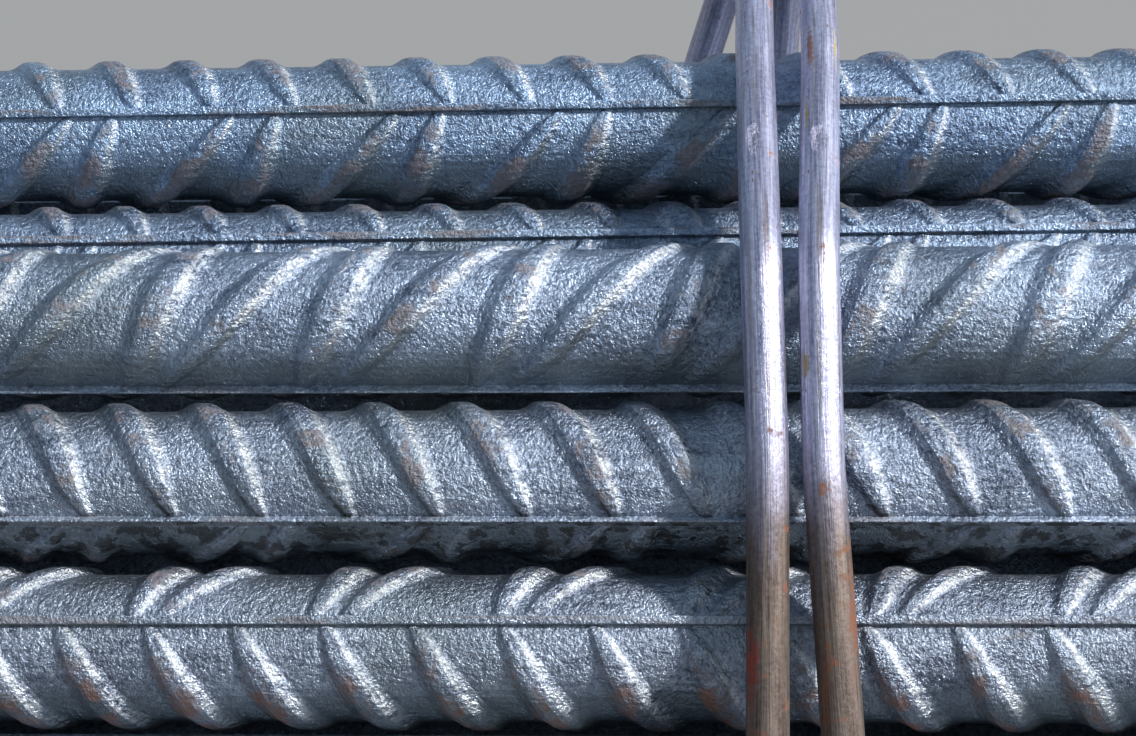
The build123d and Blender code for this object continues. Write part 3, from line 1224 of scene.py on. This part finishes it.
def marked(tree, place, ragged, colour, rust):
    """The colour with the marks and nicks, how rusty it is and how deep the nicks are."""
    for centre, size, tint in STRAND_MARKS:
        mark = near(tree, place, centre, size)
        mark = ramp(mark + MARK_FRAY * (ragged - 0.5), MARK_EDGE)
        colour = blend(tree, mark * MARK_STRENGTH, colour, tint)
        rust = rust.use("MAXIMUM", mark * MARK_RUST)
    nicks = ragged * 0.0
    for centre, size in STRAND_NICKS:
        nicks = nicks + ramp(near(tree, place, centre, size) + (ragged - 0.5), NICK_EDGE)
    return blend(tree, nicks * NICK_STRENGTH, colour, NICK_COLOUR), rust, nicks


print(len(STRAND_MARKS), "marks,", len(STRAND_NICKS), "nicks")

# %% The finish of the wire
WIRE_NOISES = {
    "streaks": ("lengthwise", 2600.0, 6.0, 0.7),
    "broad": ("lengthwise", 750.0, 3.0, 0.6),
    "stripes": ("lengthwise", 1100.0, 2.0, 0.6),
    "clouds": ("plain", 75.0, 4.0, 0.6),
    "grains": ("plain", 1500.0, 4.0, 0.6),
    "rust": ("plain", 300.0, 6.0, 0.6),
    "fray": ("plain", 700.0, 6.0, 0.8),
}
# A noise along the wire is this much slower than round it
ALONG_SHARE = 0.03
BLUE_SKIN = ((0.22, 0.22, 0.34), (0.66, 0.68, 0.88))
BROWN_SKIN = ((0.06, 0.04, 0.033), (0.20, 0.16, 0.14))
STRIPE_COLOUR = (0.26, 0.21, 0.18)
SKIN_SHARES = {"streaks": 0.45, "broad": 0.35, "grains": 0.2}
SKIN_RANGE = (0.40, 0.58)
WORN_BELOW = 0.121
WORN_WANDER = 0.025
WORN_EDGE = (-0.008, 0.012)
STRIPE_EDGE, STRIPE_STRENGTH = (0.56, 0.62), 0.5
RUST_SHARES = {"rust": 1.0, "broad": 0.2, "worn": 0.04}
RUST_EDGE, RUST_STRENGTH = (0.75, 0.82), 0.8
FRAY_SHARES = {"fray": 0.5, "streaks": 0.5}
WIRE_METALLIC, DULLER_WORN = 0.85, 0.3
WIRE_ROUGHNESS = 0.30
ROUGHER_SHARES = {"streaks": 0.25, "rusty": 0.3, "worn": 0.1}
SCRATCH_DEPTH, NICK_DEPTH, GRAIN_DEPTH = 0.12 * MM, 0.35 * MM, 0.05 * MM


def along_the_wire(tree):
    """Where a point is round the wire, with its place along the wire as Z."""
    drift = xyz(tree, Z=attribute(tree, "along") * ALONG_SHARE)
    total = step(tree, "ShaderNodeVectorMath", settings={"operation": "ADD"})
    around = attribute(tree, "lay", output="Vector")
    for value, socket in zip((around, drift), total.node.inputs):
        plug(tree, value, socket)
    return total


def drawn_wire():
    material, tree, shader = new_material("drawn_wire")
    places = {"plain": object_place(tree), "lengthwise": along_the_wire(tree)}
    grain = noises(tree, places, WIRE_NOISES)
    height = part(tree, "Z", places["plain"])
    light = ramp(mix(grain, SKIN_SHARES), SKIN_RANGE)
    wander = WORN_WANDER * (grain["clouds"] + grain["broad"] - 1.0)
    worn = ramp(WORN_BELOW - height + wander, WORN_EDGE)
    grain["worn"] = worn
    blue, brown = blend(tree, light, *BLUE_SKIN), blend(tree, light, *BROWN_SKIN)
    colour = blend(tree, worn, blue, brown)
    stripes = ramp(grain["stripes"], STRIPE_EDGE)
    colour = blend(tree, stripes * STRIPE_STRENGTH, colour, STRIPE_COLOUR)
    rust = ramp(mix(grain, RUST_SHARES), RUST_EDGE)
    colour = blend(tree, rust * RUST_STRENGTH, colour, RUST_ORANGE)
    ragged = mix(grain, FRAY_SHARES)
    colour, rust, nicks = marked(tree, places["plain"], ragged, colour, rust)
    grain["rusty"] = rust
    metallic = WIRE_METALLIC * (1.0 - rust) * (1.0 - DULLER_WORN * worn)
    rough = WIRE_ROUGHNESS + mix(grain, ROUGHER_SHARES)
    scratches = bump(tree, grain["streaks"], SCRATCH_DEPTH)
    dents = nicks * (1.0 + grain["grains"]) * -1.0
    pressed = bump(tree, dents, NICK_DEPTH, under=scratches)
    skin = bump(tree, grain["grains"], GRAIN_DEPTH, under=pressed)
    finish(tree, shader, Base_Color=colour, Metallic=metallic, Roughness=rough, Normal=skin)
    return material


DRAWN_WIRE = drawn_wire()
print("drawn wire:", len(DRAWN_WIRE.node_tree.nodes), "nodes")

# %% [markdown]
# ### Sweep the wires
#
# Geometry Nodes round the path's corners, cut it into even steps and sweep a circle
# along it, so one tree serves all six strands. On the way they store the length along
# the wire and the place on the circle, which the finish reads.

# %% The wire tree
WIRE_SIZES = {"Wire radius": WIRE_RADIUS, "Step": 2.0 * MM, "Sides": 20}
POINTS_PER_BEND = 12


def wire_tree():
    tree, size, target = new_tree("tie_wire", WIRE_SIZES)
    source = size["Geometry"]
    rounded = step(
        tree,
        "GeometryNodeFilletCurve",
        settings={"mode": "POLY"},
        Curve=source,
        Count=POINTS_PER_BEND,
        Radius=step(tree, "GeometryNodeInputRadius"),
        Limit_Radius=True,
    )
    even = step(tree, "GeometryNodeSetCurveRadius", Curve=rounded, Radius=1.0)
    runs = step(
        tree,
        "GeometryNodeResampleCurve",
        settings={"mode": "LENGTH"},
        Curve=even,
        Length=size["Step"],
    )
    length = step(tree, "GeometryNodeSplineParameter", output="Length")
    runs = keep_value(tree, runs, "along", length)
    ring = step(
        tree,
        "GeometryNodeCurvePrimitiveCircle",
        Resolution=size["Sides"],
        Radius=size["Wire radius"],
    )
    on_ring = step(tree, "GeometryNodeInputPosition")
    ring = keep_value(tree, ring, "lay", on_ring, "FLOAT_VECTOR")
    tube = step(
        tree, "GeometryNodeCurveToMesh", Curve=runs, Profile_Curve=ring, Fill_Caps=True
    )
    real = step(tree, "GeometryNodeRealizeInstances", Geometry=tube)
    coated = step(tree, "GeometryNodeSetMaterial", Geometry=real, Material=DRAWN_WIRE)
    plug(tree, coated, target.inputs["Geometry"])
    return tree


WIRE_TREE = wire_tree()
print("wire tree:", len(WIRE_TREE.nodes), "nodes")

# %% [markdown]
# Each tie's four ends start a quarter of a turn apart in the twist. A path's points carry
# the radius of the bend at each, as the curve's radius, and the tree reads it.

# %% Place the ties
# In degrees round the twist
FRONT_START, BACK_START, EIGHTH_TURN = -90, 90, 45


def tie_wire(name, station, side):
    front = list(reversed(twist_points(FRONT_START + EIGHTH_TURN * side)))
    back = twist_points(BACK_START - EIGHTH_TURN * side)
    wrap = wrap_points(side)
    bends = [0.0] * (len(front) - 1) + [ROOT_BEND] + [WRAP_RADIUS] * len(wrap) + [ROOT_BEND]
    bends += [0.0] * (len(back) - 1)
    path = bpy.data.curves.new(name + "_path", "CURVE")
    path.dimensions = "3D"
    spline = path.splines.new("POLY")
    points = front + wrap + back
    spline.points.add(len(points) - 1)
    for point, (x, y, z), bend in zip(spline.points, points, bends):
        point.co = (station + x, y, z, 1.0)
        point.radius = bend
    piece = make_mesh("wire_" + name, WIRE_TREE, {}, path)
    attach(piece, "root")
    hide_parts(name)
    return piece


bar_low, bar_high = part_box("bar_top")
outer_tie = round((bar_high[0] - bar_low[0]) / 2, 4) - TIE_FROM_END
for number, station in enumerate((-outer_tie, 0.0, outer_tie), start=1):
    for side, label in ((-1, "left"), (1, "right")):
        wire = tie_wire(f"tie_{number}_{label}_wire", station, side)
    print(wire.name, "polygons", len(wire.data.polygons))

# %% [markdown]
# ## Floor, light and camera
#
# The floor is a plain grey that shows both the bright flanks and the dark gaps. One sun
# stands to the right, in front and above, where the shadows of the strands and the dark
# sides of the ribs put it. A photograph of a sky could light the rest, but a plain blue
# light from above is enough, and the tops of the bars turn blue under it as they should.

# %% Floor
FLOOR_COLOUR = (0.28, 0.275, 0.27)
FLOOR_ROUGHNESS = 0.8
FLOOR_HALF = 80.0


def stage_material():
    material, tree, shader = new_material("grey_floor")
    finish(tree, shader, Base_Color=(*FLOOR_COLOUR, 1.0), Roughness=FLOOR_ROUGHNESS)
    return material


floor_mesh = bpy.data.meshes.new("floor")
corners = [(x, y, 0.0) for x, y in ((-1, -1), (1, -1), (1, 1), (-1, 1))]
corners = [(x * FLOOR_HALF, y * FLOOR_HALF, z) for x, y, z in corners]
floor_mesh.from_pydata(corners, [], [(0, 1, 2, 3)])
floor = bpy.data.objects.new("floor", floor_mesh)
floor.data.materials.append(stage_material())
bpy.context.scene.collection.objects.link(floor)
print("floor", floor.dimensions[:])

# %% [markdown]
# The world gives no more light than its dim blue sky. What the camera and the metal see
# just over the horizon is a grey backdrop, in the tone that the floor has in the light,
# so the floor's far edge can't be seen. Light Path tells those rays from the others.

# %% Light
SUN_PLACE = Vector((2.2, -0.65, 1.85))
SUN_STRENGTH = 5.0
SUN_SOFTNESS = math.radians(5)
OVERHEAD_LIGHT = 0.42
HORIZON_LIGHT = 0.24
HORIZON_BAND = 0.14
SUN_COLOUR = (1.0, 0.975, 0.94)
SKY_COLOUR = (0.64, 0.82, 1.0)
BACKDROP_COLOUR = (0.31, 0.31, 0.31)
BACKDROP_TOP = 0.22


def sun():
    lamp = bpy.data.lights.new("key", "SUN")
    lamp.energy = SUN_STRENGTH
    lamp.angle = SUN_SOFTNESS
    lamp.color = SUN_COLOUR
    key = bpy.data.objects.new("key", lamp)
    key.location = SUN_PLACE
    key.rotation_mode = "QUATERNION"
    key.rotation_quaternion = (-SUN_PLACE).to_track_quat("-Z", "Y")
    bpy.context.scene.collection.objects.link(key)
    return key


def studio_world():
    """A dim blue sky, and a grey backdrop over the horizon for camera and metal."""
    world = bpy.data.worlds.new("studio")
    world.use_nodes = True
    tree = world.node_tree
    way = step(tree, "ShaderNodeTexCoord", output="Generated")
    height = part(tree, "Z", way)
    level = (height / HORIZON_BAND).smooth()
    light = choose(level, OVERHEAD_LIGHT, HORIZON_LIGHT)
    paths = [
        step(tree, "ShaderNodeLightPath", output=name)
        for name in ("Is Camera Ray", "Is Glossy Ray", "Is Transmission Ray")
    ]
    seen = paths[0].use("MAXIMUM", paths[1]).use("MAXIMUM", paths[2])
    backdrop = seen * (1.0 - ((height - BACKDROP_TOP) / HORIZON_BAND).smooth())
    background = tree.nodes["Background"]
    colour = blend(tree, backdrop, SKY_COLOUR, BACKDROP_COLOUR)
    plug(tree, colour, background.inputs["Color"])
    plug(tree, choose(backdrop, 1.0, light), background.inputs["Strength"])
    return world


key_light = sun()
bpy.context.scene.world = studio_world()
print("key light from", [round(value, 2) for value in SUN_PLACE])

# %% [markdown]
# The camera is where the photograph was taken from: about 30 cm in front of the bars and
# 18 degrees above them, with a long lens. Its place and turns were worked out from the
# bars' edges, the spacing of the ribs and the strands.

# %% Camera
CAMERA_PLACE = Vector((-11.5, -345.4, 226.2)) * MM
CAMERA_ELEVATION = math.radians(17.86)
CAMERA_YAW = math.radians(3.45)
CAMERA_ROLL = math.radians(-1.37)
CAMERA_LENS = 76.06
SENSOR_WIDTH = 36.0
NEAREST = 0.01
forward = Vector(
    (
        -math.sin(CAMERA_YAW) * math.cos(CAMERA_ELEVATION),
        math.cos(CAMERA_YAW) * math.cos(CAMERA_ELEVATION),
        -math.sin(CAMERA_ELEVATION),
    )
)
level = Vector((math.cos(CAMERA_YAW), math.sin(CAMERA_YAW), 0.0))
upward = level.cross(forward)
camera_right = level * math.cos(CAMERA_ROLL) + upward * math.sin(CAMERA_ROLL)
camera_up = upward * math.cos(CAMERA_ROLL) - level * math.sin(CAMERA_ROLL)

lens = bpy.data.cameras.new("camera")
lens.lens = CAMERA_LENS
lens.sensor_width = SENSOR_WIDTH
lens.clip_start = NEAREST
camera = bpy.data.objects.new("camera", lens)
bpy.context.scene.collection.objects.link(camera)
turned = Matrix((camera_right, camera_up, -forward)).transposed().to_4x4()
camera.matrix_world = Matrix.Translation(CAMERA_PLACE) @ turned
bpy.context.scene.camera = camera
bpy.context.scene.view_settings.view_transform = "Standard"
print("camera at", [round(value, 3) for value in CAMERA_PLACE])
